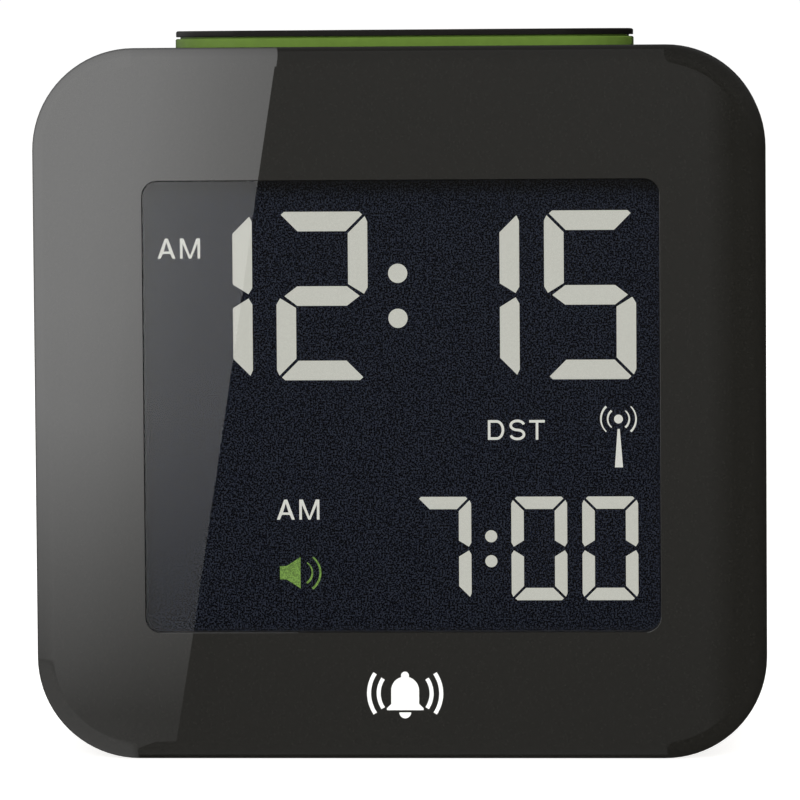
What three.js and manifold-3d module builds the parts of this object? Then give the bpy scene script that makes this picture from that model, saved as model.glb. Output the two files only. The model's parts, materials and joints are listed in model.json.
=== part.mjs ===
// A digital travel alarm clock with a liquid crystal display, as an assembly of separate pieces.
// Units are millimetres, +Z is up, the display faces -Y and +X is on the viewer's right.
// The origin is the centre of the face that the clock stands on.
import * as THREE from "three";
import { mergeVertices } from "three/addons/utils/BufferGeometryUtils.js";
import Module from "manifold-3d";

const wasm = await Module();
wasm.setup();

// ---- Driving dimensions ----

const CASE = { width: 76, height: 74, depth: 38, corner: 10.6, wall: 2 };
const FILLET = { front: 2, rear: 4 };
const FRONT = -CASE.depth / 2;
const BACK = CASE.depth / 2;
const PARTING = 0; // plane where the two halves of the case meet
const GAP = 0.05; // clearance between two faces that rest on each other

const WINDOW = { width: 53.5, height: 46.9, corner: 1.6, x: 0.3, z: 36.8, clearance: 0.1, flange: 1.9 };
const LCD = { width: 57, low: 11.3, high: 61.8, ledge: 3.1, glass: 1.05, front: -15.4 };
const LCD_FRAME = { halfWidth: 30.2, low: 7, high: 63.2, front: -15.8, back: -9.4 };
const LED = { x: 28.7, low: 35.5, high: 38.5 };
const MAIN_BOARD = { halfWidth: 28.5, low: 8, high: 62, front: -8, back: -6.4 };
const BOARD_FACE = MAIN_BOARD.back + GAP; // where parts sit on the rear side of the main board

const BUTTON = { width: 48.2, depth: 23.6, corner: 7, raised: 0.92, skirt: 1.5, clearance: 0.3 };
const BUTTON_FLANGE = { overhang: 1.2, low: 70.4, high: 71.95 };
const BUTTON_NECK = { inset: 0.5, height: 0.18 };
const LID_THICKNESS = 0.64;
const SPRING = { x: 17, low: 63.45, high: 73.3, radius: 2.7, wire: 0.3, turns: 5 };
const LATCH = { y: -2.15, halfWidth: 4.25, low: 55, high: 63, plungerTop: 69.3 };

const CELL = { radius: 5.25, length: 44.5, nub: 1, nubRadius: 1.9, y: 12, lowZ: 12.25, highZ: 23.75 };
const CELL_TIP = 25.3; // x of each cell's positive end
const CONTACT = { near: 25.4, far: 25.8 };
const BAY = { halfWidth: 26, low: 6.5, high: 29.5, floor: 6.5, wall: 1.2 };
const DOOR = { width: 56, height: 27, corner: 2, z: 18, thickness: 1.6, clearance: 0.2 };
const DOOR_HOOK = { x: 14, width: 6 };
const DOOR_LEDGE = BACK - DOOR.thickness - 0.1; // face of the case that the door closes on

const PANEL = { width: 54, height: 18, corner: 2, z: 53, depth: 1.2, wall: 1.6 };
const PANEL_INSIDE = BACK - PANEL.depth - PANEL.wall;
const KEY = { xs: [-18, -6, 6, 18], z: 57, radius: 2.8, flange: 3.6, clearance: 0.2, top: 18.5 };
const SWITCH_Z = 49;
const ZONE = { x: -13, travel: 8 };
const DST = { x: 14, travel: 2 };
const KNOB = { halfWidth: 1.1, halfHeight: 1, clearance: 0.2 };
const RESET = { x: 4, radius: 0.75 };
const KEY_BOARD = { halfWidth: 27, low: 45, high: 61, front: 11.2, back: 12.4 };
const KEY_FACE = KEY_BOARD.back + GAP;
const STAKE = { x: 24.3, z: 53, radius: 0.9 };
const TACT = { halfWidth: 2.25, height: 1.6, holeRadius: 1.25, holeFloor: 0.8 };

const CASE_SCREW = { x: 31.8, zs: [9.2, 64.8], seat: 8, length: 11, radius: 1.1, head: 2.1 };
const BOARD_SCREW = { x: 33, zs: [20, 54], length: 5, radius: 0.9, head: 1.7 };
const BUZZER = { radius: 5, z: 37.75, front: 11.9, back: 16.9 };
const ANTENNA = { radius: 4, length: 54, y: 1.5, z: 44 };
const RIBBON = { left: -18, right: -10, low: 47, bend: 51, thickness: 0.4 };

// ---- Outlines, and solids made from them ----

function roundedRect(width, height, radius, centreX = 0, centreY = 0) {
  const [left, right] = [centreX - width / 2, centreX + width / 2];
  const [low, high] = [centreY - height / 2, centreY + height / 2];
  const shape = new THREE.Shape();
  shape.moveTo(left + radius, low);
  shape.absarc(right - radius, low + radius, radius, -Math.PI / 2, 0, false);
  shape.absarc(right - radius, high - radius, radius, 0, Math.PI / 2, false);
  shape.absarc(left + radius, high - radius, radius, Math.PI / 2, Math.PI, false);
  shape.absarc(left + radius, low + radius, radius, Math.PI, 1.5 * Math.PI, false);
  return shape;
}

// The bevel is a round of that radius on both ends, inside the outline.
function extrude(shape, length, { bevel = 0, segments = 4 } = {}) {
  const geometry = new THREE.ExtrudeGeometry(shape, {
    depth: length - 2 * bevel,
    curveSegments: segments,
    bevelEnabled: bevel > 0,
    bevelThickness: bevel,
    bevelSize: bevel,
    bevelOffset: -bevel,
    bevelSegments: 4,
  });
  return geometry.translate(0, 0, bevel);
}

// A prism along Y of an outline drawn in X and Z.
const prismY = (shape, front, back, options) =>
  extrude(shape, back - front, options).rotateX(Math.PI / 2).translate(0, back, 0);

// A prism along Z of an outline drawn in X and Y.
const prismZ = (shape, low, high, options) =>
  extrude(shape, high - low, options).translate(0, 0, low);

function block(x0, x1, y0, y1, z0, z1) {
  const box = new THREE.BoxGeometry(x1 - x0, y1 - y0, z1 - z0);
  return box.translate((x0 + x1) / 2, (y0 + y1) / 2, (z0 + z1) / 2);
}

function rodY(radius, front, back, x, z, sides = 16) {
  const rod = new THREE.CylinderGeometry(radius, radius, back - front, sides);
  return rod.translate(x, (front + back) / 2, z);
}

function rodZ(radius, low, high, x, y, sides = 16) {
  const rod = new THREE.CylinderGeometry(radius, radius, high - low, sides);
  return rod.rotateX(Math.PI / 2).translate(x, y, (low + high) / 2);
}

// A solid of revolution about Y from [radius, height] pairs that run upwards.
const lathe = (pairs, sides = 16) =>
  new THREE.LatheGeometry(pairs.map(([radius, y]) => new THREE.Vector2(radius, y)), sides);

class Helix extends THREE.Curve {
  constructor(turns, length, startRadius, endRadius) {
    super();
    Object.assign(this, { turns, length, startRadius, endRadius });
  }

  getPoint(t) {
    const angle = 2 * Math.PI * this.turns * t;
    const radius = THREE.MathUtils.lerp(this.startRadius, this.endRadius, t);
    return new THREE.Vector3(radius * Math.cos(angle), radius * Math.sin(angle), this.length * t);
  }
}

function tube(path, radius, steps) {
  const section = new THREE.Shape();
  section.absarc(0, 0, radius, 0, 2 * Math.PI, false);
  return new THREE.ExtrudeGeometry(section, { steps, curveSegments: 3, extrudePath: path });
}

// A coil spring of round wire along Z, from low to high.
function coil(low, high, wire, turns, startRadius, endRadius = startRadius) {
  const helix = new Helix(turns, high - low - 2 * wire, startRadius, endRadius);
  return tube(helix, wire, Math.round(turns * 9)).translate(0, 0, low + wire);
}

// ---- Joining and cutting ----

function toSolid(geometry) {
  const bare = geometry.clone();
  bare.deleteAttribute("normal");
  bare.deleteAttribute("uv");
  const merged = mergeVertices(bare, 1e-4);
  const vertProperties = merged.attributes.position.array;
  const triVerts = new Uint32Array(merged.index.array);
  return new wasm.Manifold(new wasm.Mesh({ numProp: 3, vertProperties, triVerts }));
}

function toGeometry(solid) {
  const mesh = solid.getMesh();
  const positions = new THREE.BufferAttribute(new Float32Array(mesh.vertProperties), 3);
  const geometry = new THREE.BufferGeometry().setAttribute("position", positions);
  geometry.setIndex(new THREE.BufferAttribute(new Uint32Array(mesh.triVerts), 1));
  geometry.computeVertexNormals();
  return geometry;
}

// Joins the first list of geometries, and then cuts away the second list.
function carve(added, removed = []) {
  const body = added.map(toSolid).reduce((whole, piece) => whole.add(piece));
  return toGeometry(removed.map(toSolid).reduce((whole, piece) => whole.subtract(piece), body));
}

// Calls make with -1 for the left and 1 for the right.
const mirrored = (make) => [-1, 1].flatMap((side) => make(side));

// The four places [x, z] of a set of screws.
const places = ({ x, zs }) => mirrored((side) => zs.map((z) => [side * x, z]));

// A block from x = side * from to x = side * to, for either side.
function sideBlock(side, from, to, ...rest) {
  const [left, right] = [side * from, side * to].sort((a, b) => a - b);
  return block(left, right, ...rest);
}

// ---- Case ----

const caseOutline = (inset = 0) =>
  roundedRect(CASE.width - 2 * inset, CASE.height - 2 * inset, CASE.corner - inset, 0, CASE.height / 2);

const buttonOutline = (grow = 0) =>
  roundedRect(BUTTON.width + 2 * grow, BUTTON.depth + 2 * grow, BUTTON.corner + grow);

// The opening for the display in the face, or the same outline grown on every side.
const windowOutline = (grow, corner) =>
  roundedRect(WINDOW.width + 2 * grow, WINDOW.height + 2 * grow, corner, WINDOW.x, WINDOW.z);

// The hole in the top of the case that the button slides in.
const buttonHole = () => prismZ(buttonOutline(BUTTON.clearance), BUTTON_FLANGE.low, CASE.height + 5);

function frontCase() {
  const past = 10;
  const shell = prismY(caseOutline(), FRONT, PARTING + past, { bevel: FILLET.front, segments: 7 });
  const hollow = prismY(caseOutline(CASE.wall), FRONT + CASE.wall, PARTING + past + 1, { segments: 7 });
  const window = prismY(windowOutline(0, WINDOW.corner), FRONT - 1, FRONT + CASE.wall + 1);
  const beyond = block(-50, 50, PARTING, PARTING + past + 5, -5, 85);
  const shelled = carve([shell], [hollow, window, beyond, buttonHole()]);

  const wall = CASE.width / 2 - CASE.wall + 0.5;
  const caseBosses = places(CASE_SCREW).flatMap(([x, z]) => [
    rodY(2.6, -9, PARTING, x, z),
    sideBlock(Math.sign(x), CASE_SCREW.x + 1, wall, -9, PARTING, z - 0.8, z + 0.8),
  ]);
  const boardBosses = places(BOARD_SCREW).map(([x, z]) =>
    rodY(2.4, FRONT + CASE.wall - 0.5, MAIN_BOARD.front - GAP, x, z),
  );
  const pilots = [
    ...places(CASE_SCREW).map(([x, z]) => rodY(CASE_SCREW.radius + 0.15, -5, 1, x, z, 12)),
    ...places(BOARD_SCREW).map(([x, z]) => rodY(BOARD_SCREW.radius + 0.15, -14, -7, x, z, 12)),
  ];
  return carve([shelled, ...caseBosses, ...boardBosses], pilots);
}

// The battery bay's tray with the ledge that the door closes on, before it is hollowed out.
function batteryTray() {
  const { halfWidth, low, high, floor, wall } = BAY;
  return [
    block(-halfWidth - wall, halfWidth + wall, floor - wall, DOOR_LEDGE, low - wall, high + wall),
    block(-29, 29, DOOR_LEDGE - 2, DOOR_LEDGE, 3.5, 32.5),
  ];
}

function batteryBayCuts() {
  const { halfWidth, low, high, floor } = BAY;
  const edge = 2 * DOOR.clearance;
  const recess = roundedRect(DOOR.width + edge, DOOR.height + edge, DOOR.corner, 0, DOOR.z);
  const hookRoom = DOOR_HOOK.width / 2 + 0.4;
  const hookPockets = mirrored((side) => {
    const x = side * DOOR_HOOK.x;
    return [block(x - hookRoom, x + hookRoom, 14.9, DOOR_LEDGE, 2.4, low + 0.1)];
  });
  const latchPocket = block(-5.6, 5.6, 15.2, DOOR_LEDGE + 0.1, high - 0.1, 32.2);
  const thumbScoop = block(-6, 6, BACK - 1.2, BACK + 1, 31, 34);
  const tailSlots = [CELL.lowZ, CELL.highZ].map((z) =>
    block(halfWidth - 0.9, halfWidth, 5, floor + 0.3, z - 1.25, z + 1.25),
  );
  return [
    block(-halfWidth, halfWidth, floor, BACK + 1, low, high),
    prismY(recess, DOOR_LEDGE, BACK + 1),
    ...hookPockets,
    latchPocket,
    thumbScoop,
    ...tailSlots,
  ];
}

// The control panel: a recess with four round holes, two slots and a pinhole.
function panelCuts() {
  const recess = roundedRect(PANEL.width, PANEL.height, PANEL.corner, 0, PANEL.z);
  const side = KNOB.halfWidth + KNOB.clearance;
  const height = KNOB.halfHeight + KNOB.clearance;
  const slot = ({ x, travel }) =>
    block(x - side, x + travel + side, 15, BACK, SWITCH_Z - height, SWITCH_Z + height);
  return [
    prismY(recess, BACK - PANEL.depth, BACK + 1),
    ...KEY.xs.map((x) => rodY(KEY.radius + KEY.clearance, 15, BACK, x, KEY.z, 24)),
    slot(ZONE),
    slot(DST),
    rodY(RESET.radius, 15, BACK, RESET.x, SWITCH_Z, 12),
  ];
}

// One hole over the middle of the buzzer and six round it.
function soundHoles() {
  const ring = Array.from({ length: 6 }, (_, i) => (i * Math.PI) / 3);
  const spots = [[0, 0], ...ring.map((angle) => [3 * Math.cos(angle), 3 * Math.sin(angle)])];
  return spots.map(([x, z]) => rodY(0.75, 15, BACK + 1, x, BUZZER.z + z, 12));
}

// A lip that steps inside the front half, with room for the button and the front half's ribs.
function partingLip() {
  const lip = prismY(caseOutline(CASE.wall + 0.15), PARTING - 2, PARTING + 0.5);
  const root = prismY(caseOutline(CASE.wall - 0.5), PARTING + GAP, PARTING + 1.5);
  return carve(
    [lip, root],
    [
      prismY(caseOutline(CASE.wall + 1.15), PARTING - 3, PARTING + 2),
      block(-26.5, 26.5, PARTING - 3, PARTING + 2, 60, 80),
      ...CASE_SCREW.zs.map((z) => block(-40, 40, PARTING - 3, PARTING, z - 1.2, z + 1.2)),
    ],
  );
}

// A shelf under each of the button's springs, with a peg inside the coil.
const springShelves = () =>
  mirrored((side) => {
    const x = side * SPRING.x;
    return [
      block(x - 3.5, x + 3.5, -3.5, BACK - CASE.wall + 0.2, SPRING.low - 1.65, SPRING.low - 0.15),
      rodZ(1.9, SPRING.low - 0.5, SPRING.low + 1.85, x, 0),
    ];
  });

// Two posts that the key board sits against, each with a thin end that goes through the board.
const keyBoardPosts = () =>
  mirrored((side) => [
    rodY(1.8, KEY_BOARD.back + GAP, PANEL_INSIDE + 0.3, side * STAKE.x, STAKE.z),
    rodY(STAKE.radius, KEY_BOARD.front - 0.6, KEY_BOARD.back + 1, side * STAKE.x, STAKE.z, 12),
  ]);

function rearCase() {
  const past = 10;
  const shell = prismY(caseOutline(), PARTING - past, BACK, { bevel: FILLET.rear, segments: 7 });
  const hollow = prismY(caseOutline(CASE.wall), PARTING - past - 1, BACK - CASE.wall, { segments: 7 });
  const beyond = block(-50, 50, PARTING - past - 5, PARTING, -5, 85);
  const shelled = carve([shell], [hollow, beyond]);

  const wall = CASE.width / 2 - CASE.wall + 0.5;
  const bosses = places(CASE_SCREW).flatMap(([x, z]) => [
    rodY(3.2, PARTING, BACK - 1.5, x, z),
    sideBlock(Math.sign(x), CASE_SCREW.x + 1, wall, PARTING, BACK - 1.5, z - 1, z + 1),
  ]);
  const panelBack = block(-28, 28, PANEL_INSIDE, BACK - 1.5, 43, 63);
  const screwHoles = places(CASE_SCREW).flatMap(([x, z]) => [
    rodY(CASE_SCREW.radius + 0.2, PARTING - 1, CASE_SCREW.seat + 1, x, z, 12),
    rodY(CASE_SCREW.head + 0.3, CASE_SCREW.seat, BACK + 1, x, z, 20),
  ]);
  return carve(
    [shelled, partingLip(), ...bosses, ...batteryTray(), panelBack, ...keyBoardPosts(), ...springShelves()],
    [...screwHoles, ...batteryBayCuts(), ...panelCuts(), ...soundHoles(), buttonHole()],
  );
}

// It turns about its lower outer edge, with two hooks behind the wall below it and a catch above.
function batteryDoor() {
  const inner = BACK - DOOR.thickness;
  const plate = roundedRect(DOOR.width, DOOR.height, DOOR.corner, 0, DOOR.z);
  const [low, high] = [DOOR.z - DOOR.height / 2, DOOR.z + DOOR.height / 2];
  const hooks = mirrored((side) => {
    const x = side * DOOR_HOOK.x;
    const [left, right] = [x - DOOR_HOOK.width / 2, x + DOOR_HOOK.width / 2];
    return [
      block(left, right, inner - 1.5, inner + 0.2, low + 0.2, low + 1.9),
      block(left, right, inner - 1.5, inner - 0.5, low - 1.4, low + 0.5),
    ];
  });
  const catchBar = block(-5, 5, inner - 1.6, inner + 0.2, high - 1.5, high);
  const gripTop = high - 4;
  const grips = [0, 1, 2, 3].map((i) =>
    block(-7, 7, BACK - 0.4, BACK + 1, gripTop - 1.5 * i - 0.6, gripTop - 1.5 * i),
  );
  return carve([prismY(plate, inner, BACK), ...hooks, catchBar], grips);
}

// ---- Display ----

function displayWindow() {
  const inside = FRONT + CASE.wall + 0.1;
  return carve([
    prismY(windowOutline(-WINDOW.clearance, WINDOW.corner), FRONT + GAP, inside + 0.5),
    prismY(windowOutline(WINDOW.flange, 3), inside, inside + 1),
  ]);
}

function windowGasket() {
  const ring = prismY(windowOutline(1.5, 2.6), -15.85, -15.65);
  return carve([ring], [prismY(windowOutline(0.3, 1.8), -17, -15)]);
}

// Open at the front for the glass, with steps for the light guide and slots for strip and lamps.
function lcdFrame() {
  const { halfWidth, low, high, front, back } = LCD_FRAME;
  const lampSlots = mirrored((side) => [sideBlock(side, 27.6, 29.8, -13.1, -9, LED.low - 0.5, LED.high + 0.5)]);
  return carve(
    [block(-halfWidth, halfWidth, front, back, low, high)],
    [
      block(-28.7, 28.7, front - 1, -12.9, 8, 62),
      block(-27.7, 27.7, -13, -10.6, 11.8, 61.2),
      block(-26.3, 26.3, -13, -9, 8.7, 10.9),
      ...lampSlots,
    ],
  );
}

// A layer of the display, held in from the glass edge by the inset.
function lcdSheet(front, thickness, inset, low = LCD.low) {
  const side = LCD.width / 2 - inset;
  return block(-side, side, front, front + thickness, low + inset, LCD.high - inset);
}

const zebraStrip = () => block(-26, 26, -14.25, MAIN_BOARD.front - GAP, 8.9, 10.7);

function backlightLed() {
  const middle = (LED.low + LED.high) / 2;
  const leg = (z) => block(-0.3, 0.3, -9.7, MAIN_BOARD.front - GAP, z - 0.25, z + 0.25);
  return carve([block(-0.7, 0.7, -12.5, -9.6, LED.low, LED.high), leg(middle - 0.75), leg(middle + 0.75)]);
}

// ---- Circuit boards and what is on them ----

function mainBoard() {
  const { halfWidth, low, high, front, back } = MAIN_BOARD;
  const ears = places(BOARD_SCREW).map(([x, z]) =>
    sideBlock(Math.sign(x), halfWidth - 1, 35.2, front, back, z - 4, z + 4),
  );
  const holes = places(BOARD_SCREW).map(([x, z]) => rodY(BOARD_SCREW.radius + 0.15, -9, -5, x, z, 12));
  return carve([block(-halfWidth, halfWidth, front, back, low, high), ...ears], holes);
}

// A low dome of resin over the chip.
const controllerChip = () => lathe([[0, 0], [5, 0], [4.7, 0.7], [3.6, 1.3], [2, 1.7], [0, 1.8]], 20);

function quartzCrystal() {
  const can = rodY(1, 0, 6, 0, 0, 12).rotateZ(-Math.PI / 2);
  const leads = [-0.45, 0.45].map((z) => block(-1.8, 0.2, -0.15, 0.15, z - 0.15, z + 0.15));
  return carve([can, ...leads]);
}

const receiverBoard = () =>
  carve([block(0, 14, 0, 1, 0, 10), block(2, 10, 0.9, 2.6, 1.5, 8.5)], [rodY(0.6, -1, 2, 12.3, 8.3, 10)]);

const ferriteRod = () => rodY(ANTENNA.radius, -ANTENNA.length / 2, ANTENNA.length / 2, 0, 0, 20);

function antennaCoil() {
  const [inner, outer, half] = [ANTENNA.radius + 0.15, ANTENNA.radius + 1.1, 9];
  return lathe([[inner, -half], [outer, -half], [outer, half], [inner, half], [inner, -half]], 20);
}

// A saddle that stands on the board, with a half-round groove for the rod.
function antennaClip() {
  const half = ANTENNA.radius + 1;
  const axis = ANTENNA.y - BOARD_FACE;
  const shape = new THREE.Shape();
  shape.moveTo(-half, 0);
  shape.lineTo(half, 0);
  shape.lineTo(half, axis);
  shape.absarc(0, axis, ANTENNA.radius + 0.1, 0, Math.PI, true);
  shape.lineTo(-half, axis);
  shape.closePath();
  return extrude(shape, 3, { segments: 12 });
}

// A flat cable that leaves one board, bends over in a half circle and lies on the other.
function ribbonCable() {
  const [front, back] = [BOARD_FACE, KEY_BOARD.front - GAP];
  const [middle, radius] = [(front + back) / 2, (back - front) / 2];
  const inner = radius - RIBBON.thickness;
  const shape = new THREE.Shape();
  shape.moveTo(back, RIBBON.low);
  shape.absarc(middle, RIBBON.bend, radius, 0, Math.PI, false);
  shape.lineTo(front, RIBBON.low);
  shape.lineTo(middle - inner, RIBBON.low);
  shape.absarc(middle, RIBBON.bend, inner, Math.PI, 0, true);
  shape.lineTo(middle + inner, RIBBON.low);
  shape.closePath();
  const width = RIBBON.right - RIBBON.left;
  const upright = extrude(shape, width, { segments: 14 }).rotateX(Math.PI / 2).rotateZ(Math.PI / 2);
  return upright.translate(RIBBON.left, 0, 0);
}

const keyBoard = () =>
  carve(
    [
      block(
        -KEY_BOARD.halfWidth,
        KEY_BOARD.halfWidth,
        KEY_BOARD.front,
        KEY_BOARD.back,
        KEY_BOARD.low,
        KEY_BOARD.high,
      ),
    ],
    mirrored((side) => [rodY(STAKE.radius + 0.15, 10, 13, side * STAKE.x, STAKE.z, 12)]),
  );

// Its top is open, so that the tip of a key or a pin reaches the contact dome inside.
const tactSwitch = () =>
  carve(
    [block(-TACT.halfWidth, TACT.halfWidth, 0, TACT.height, -TACT.halfWidth, TACT.halfWidth)],
    [rodY(TACT.holeRadius, TACT.holeFloor, TACT.height + 1, 0, 0)],
  );

function buzzer() {
  const { radius, front, back, z } = BUZZER;
  return carve(
    [rodY(radius, front, back, 0, z, 28)],
    [rodY(radius - 1, back - 1.2, back + 1, 0, z, 28), rodY(1.2, back - 2.6, back, 0, z, 12)],
  );
}

const slideSwitchBody = (halfLength) =>
  carve(
    [block(-halfLength, halfLength, 0, 2.5, -2, 2)],
    [block(-halfLength + 1, halfLength - 1, 1.7, 3, -0.8, 0.8)],
  );

// Drawn from the switch's face: a peg into the switch, a plate behind the panel and a ribbed tip.
function slideKnob() {
  const plateTop = PANEL_INSIDE - GAP;
  const plateLow = KEY_FACE + 2.5 + GAP;
  const { halfWidth, halfHeight } = KNOB;
  const grooves = [-0.6, 0, 0.6].map((x) => block(x - 0.12, x + 0.12, KEY.top - 0.25, KEY.top + 1, -2, 2));
  return carve(
    [
      block(-0.8, 0.8, plateLow - 0.7, plateLow + 0.2, -0.6, 0.6),
      block(-3, 3, plateLow, plateTop, -1.6, 1.6),
      block(-halfWidth, halfWidth, plateTop - 0.2, KEY.top, -halfHeight, halfHeight),
    ],
    grooves,
  );
}

function key() {
  const tip = KEY_FACE + TACT.holeFloor + 0.35;
  const flangeLow = KEY_FACE + TACT.height + 0.5;
  const flangeTop = PANEL_INSIDE - GAP;
  const { radius, flange, top } = KEY;
  const profile = [
    [0, tip], [1, tip], [1, flangeLow], [flange, flangeLow], [flange, flangeTop], [radius, flangeTop],
    [radius, top - 0.35], [radius - 0.3, top - 0.08], [radius - 0.7, top], [0, top],
  ];
  return lathe(profile, 24);
}

// ---- The button on top, with its latching switch and springs ----

const SKIRT_TOP = CASE.height + BUTTON.raised;

function buttonBody() {
  const underside = SKIRT_TOP - BUTTON.skirt;
  const { overhang, low, high } = BUTTON_FLANGE;
  const skirt = carve(
    [prismZ(buttonOutline(), low, SKIRT_TOP), prismZ(buttonOutline(overhang), low, high)],
    [prismZ(buttonOutline(-BUTTON.skirt), low - 1, underside)],
  );
  const neck = prismZ(buttonOutline(-BUTTON_NECK.inset), SKIRT_TOP - 0.3, SKIRT_TOP + BUTTON_NECK.height - GAP);
  const latchPost = rodZ(2.6, LATCH.plungerTop + GAP, underside + 0.2, 0, LATCH.y);
  const springPegs = mirrored((side) => [rodZ(1.9, 71.4, underside + 0.2, side * SPRING.x, 0)]);
  return carve([skirt, neck, latchPost, ...springPegs]);
}

function buttonLid() {
  const low = SKIRT_TOP + BUTTON_NECK.height;
  return prismZ(buttonOutline(-0.05), low, low + LID_THICKNESS, { bevel: 0.12 });
}

const latchSwitchBody = () =>
  carve(
    [block(-LATCH.halfWidth, LATCH.halfWidth, BOARD_FACE, 2.1, LATCH.low, LATCH.high)],
    [block(-1.7, 1.7, LATCH.y - 1.7, LATCH.y + 1.7, LATCH.low + 2.5, LATCH.high + 1)],
  );

const latchPlunger = () =>
  carve([
    block(-1.5, 1.5, LATCH.y - 1.5, LATCH.y + 1.5, LATCH.low + 5, LATCH.plungerTop - 1.3),
    rodZ(1.9, LATCH.plungerTop - 1.5, LATCH.plungerTop, 0, LATCH.y),
  ]);

// ---- Power ----

// An AAA cell along Y with its positive end on top.
function cell() {
  const { radius, length, nub, nubRadius } = CELL;
  const can = length - nub;
  const profile = [
    [0, 0.3], [3.4, 0.3], [3.8, 0], [radius - 0.3, 0], [radius, 0.3], [radius, can - 0.5], [radius - 0.5, can],
    [nubRadius, can], [nubRadius, length - 0.3], [nubRadius - 0.3, length], [0, length],
  ];
  return lathe(profile, 24);
}

const contactPlate = (lowZ, highZ) => block(CONTACT.near, CONTACT.far, 8, 16, lowZ - 4, highZ + 4);

const contactTail = (z) => block(CONTACT.near, CONTACT.far, 4.3, 8.2, z - 1, z + 1);

const contactSpring = (z) =>
  coil(0, 6.1, 0.28, 4.5, 3.6, 2.2).rotateY(-Math.PI / 2).translate(CONTACT.far - 0.2, CELL.y, z);

const contactPositive = () => carve([contactPlate(CELL.highZ, CELL.highZ), contactTail(CELL.highZ)]);

const contactNegative = () =>
  carve([contactPlate(CELL.lowZ, CELL.lowZ), contactTail(CELL.lowZ), contactSpring(CELL.lowZ)]);

// Joins the two cells in series at the left end of the bay.
function contactLink() {
  const link = carve([contactPlate(CELL.lowZ, CELL.highZ), contactSpring(CELL.lowZ)]);
  return link.rotateY(Math.PI).translate(0, 0, CELL.lowZ + CELL.highZ);
}

// From a contact's tail to a pad on the main board.
function wire(startZ, endZ) {
  const points = [[25.6, 4, startZ], [25.4, 2, startZ], [24.6, -3.6, endZ], [24, -6.05, endZ]];
  return tube(new THREE.CatmullRomCurve3(points.map((point) => new THREE.Vector3(...point))), 0.6, 14);
}

// A cross-recessed screw along Y, with its head's underside at 0 and the head towards +Y.
function screw({ radius, head, length }) {
  const height = head * 0.75;
  const profile = [
    [0, -length], [radius * 0.5, -length], [radius, 1 - length], [radius, 0], [head, 0],
    [head, height * 0.6], [head * 0.7, height], [0, height],
  ];
  const arm = head * 0.55;
  const cross = [
    block(-arm, arm, height * 0.4, height + 1, -0.22, 0.22),
    block(-0.22, 0.22, height * 0.4, height + 1, -arm, arm),
  ];
  return carve([lathe(profile, 14)], cross);
}

// ---- Materials ----

const finish = (color, roughness, metalness = 0, opacity = 1) =>
  new THREE.MeshStandardMaterial({ color, roughness, metalness, opacity, transparent: opacity < 1 });

const glossBlack = () => finish(0x2b2a29, 0.15);
const satinBlack = () => finish(0x242322, 0.5);
const black = () => finish(0x1c1c1e, 0.6);
const green = () => finish(0x5e8238, 0.3);
const clear = () => finish(0xe8eef0, 0.05, 0, 0.3);
const polariser = () => finish(0x1b1f2a, 0.4);
const boardGreen = () => finish(0x1f5a38, 0.5);
const steel = () => finish(0xb8bac0, 0.3, 1);
const white = () => finish(0xe6e6e2, 0.6);
const pinkRubber = () => finish(0xb0586a, 0.8);
const lampYellow = () => finish(0xf4f1d8, 0.3);
const ferrite = () => finish(0x3a3836, 0.7);
const copper = () => finish(0xa4552a, 0.4, 0.6);
const red = () => finish(0xa02020, 0.5);

// ---- Assembly ----

const clock = new THREE.Group();

function place(name, geometry, material, position = [0, 0, 0], rotation = [0, 0, 0]) {
  const mesh = new THREE.Mesh(geometry, material);
  mesh.name = name;
  mesh.position.set(...position);
  mesh.rotation.set(...rotation);
  clock.add(mesh);
}

place("front_case", frontCase(), glossBlack());
place("rear_case", rearCase(), satinBlack());
place("battery_door", batteryDoor(), satinBlack());
place("display_window", displayWindow(), clear());
place("window_gasket", windowGasket(), black());

place("lcd_frame", lcdFrame(), black());
place("lcd_front_polariser", lcdSheet(-15.62, 0.2, 0.5), polariser());
place("lcd_front_glass", lcdSheet(LCD.front, LCD.glass, 0, LCD.low - LCD.ledge), clear());
place("lcd_rear_glass", lcdSheet(LCD.front + LCD.glass + 0.1, LCD.glass, 0), clear());
place("lcd_rear_polariser", lcdSheet(-13.15, 0.2, 0.5), polariser());
place("light_guide", block(-27.5, 27.5, -12.85, -10.9, 12, 61), clear());
place("reflector_sheet", block(-27.5, 27.5, -10.85, -10.65, 12, 61), white());
place("zebra_strip", zebraStrip(), pinkRubber());
place("backlight_led_left", backlightLed(), lampYellow(), [-LED.x, 0, 0]);
place("backlight_led_right", backlightLed(), lampYellow(), [LED.x, 0, 0]);

const across = [0, 0, -Math.PI / 2]; // turns +Y to +X
place("main_board", mainBoard(), boardGreen());
place("controller_chip", controllerChip(), black(), [-9, BOARD_FACE, 26]);
place("quartz_crystal", quartzCrystal(), steel(), [4, BOARD_FACE + 1, 30]);
place("receiver_board", receiverBoard(), boardGreen(), [6, BOARD_FACE, 12]);
place("ferrite_rod", ferriteRod(), ferrite(), [0, ANTENNA.y, ANTENNA.z], across);
place("antenna_coil", antennaCoil(), copper(), [3, ANTENNA.y, ANTENNA.z], across);
place("antenna_clip_left", antennaClip(), white(), [-23, BOARD_FACE, ANTENNA.z], [0, Math.PI / 2, 0]);
place("antenna_clip_right", antennaClip(), white(), [20, BOARD_FACE, ANTENNA.z], [0, Math.PI / 2, 0]);
place("ribbon_cable", ribbonCable(), white());

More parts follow.
